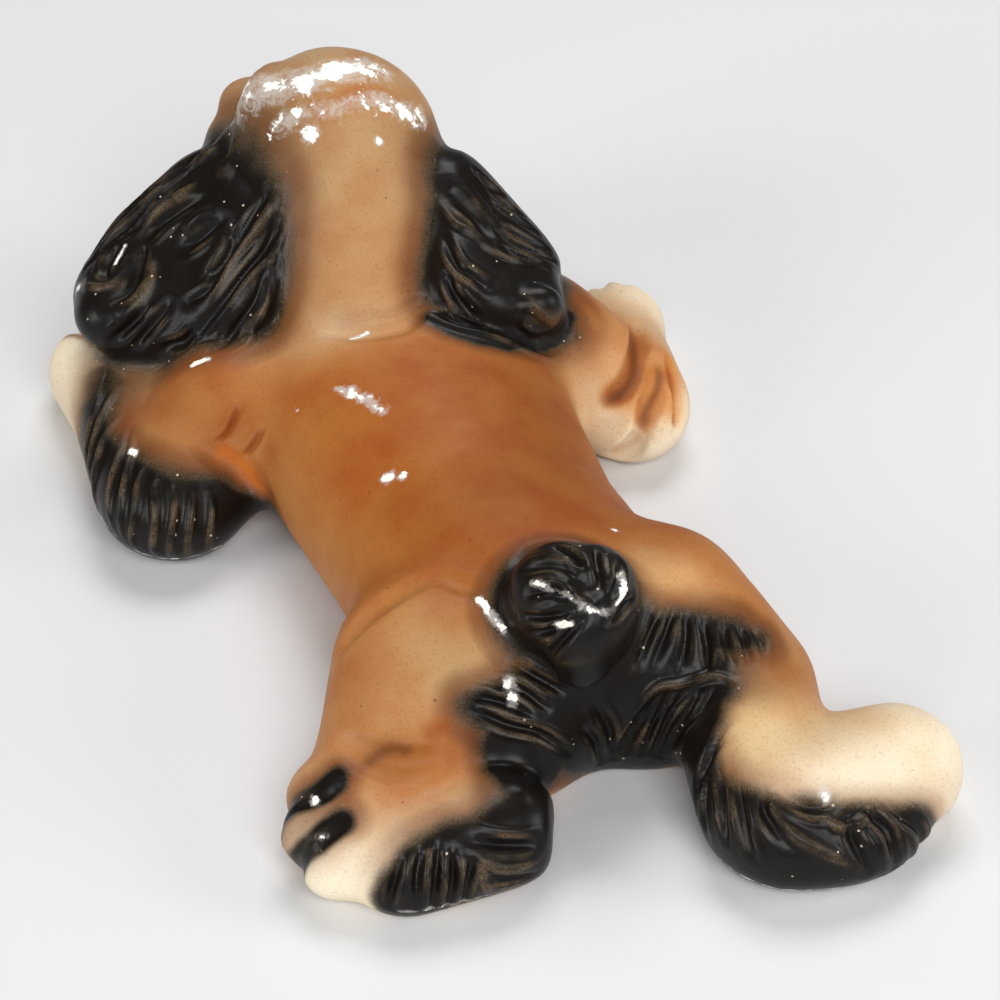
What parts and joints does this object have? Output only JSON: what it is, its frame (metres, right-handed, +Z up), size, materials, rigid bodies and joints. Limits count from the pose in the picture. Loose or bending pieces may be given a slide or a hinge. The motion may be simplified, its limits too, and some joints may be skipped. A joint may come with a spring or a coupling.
{
  "type": "dog figurine",
  "caption": "Painted ceramic figurine of a spaniel puppy lying on its belly, head raised, long wavy ears, paws spread, hind feet splayed, curled tail bob.",
  "frame": {"origin": "on the surface it rests on, under the middle of the figurine's bounding box", "axes": "+Z up, +Y from the hind feet towards the head, +X to the dog's right"},
  "size_m": [0.1678, 0.2817, 0.0938],
  "materials": {
    "brown_paint": "airbrushed orange-brown under a soft clear gloss, white chips",
    "tan_paint": "airbrushed tan under a soft clear gloss, flaked white on the crown",
    "black_paint": "gloss black over carved hair, bronze where the ridges are rubbed",
    "limb_paint": "brown fading to cream paws, with gloss black feathering"
  },
  "bodies": {
    "root": {"torso": "brown_paint", "head": "tan_paint", "ear_left": "black_paint", "ear_right": "black_paint", "tail": "black_paint", "foreleg_left": "limb_paint", "foreleg_right": "limb_paint", "hind_leg_left": "limb_paint", "hind_leg_right": "limb_paint"}
  },
  "joints": []
}
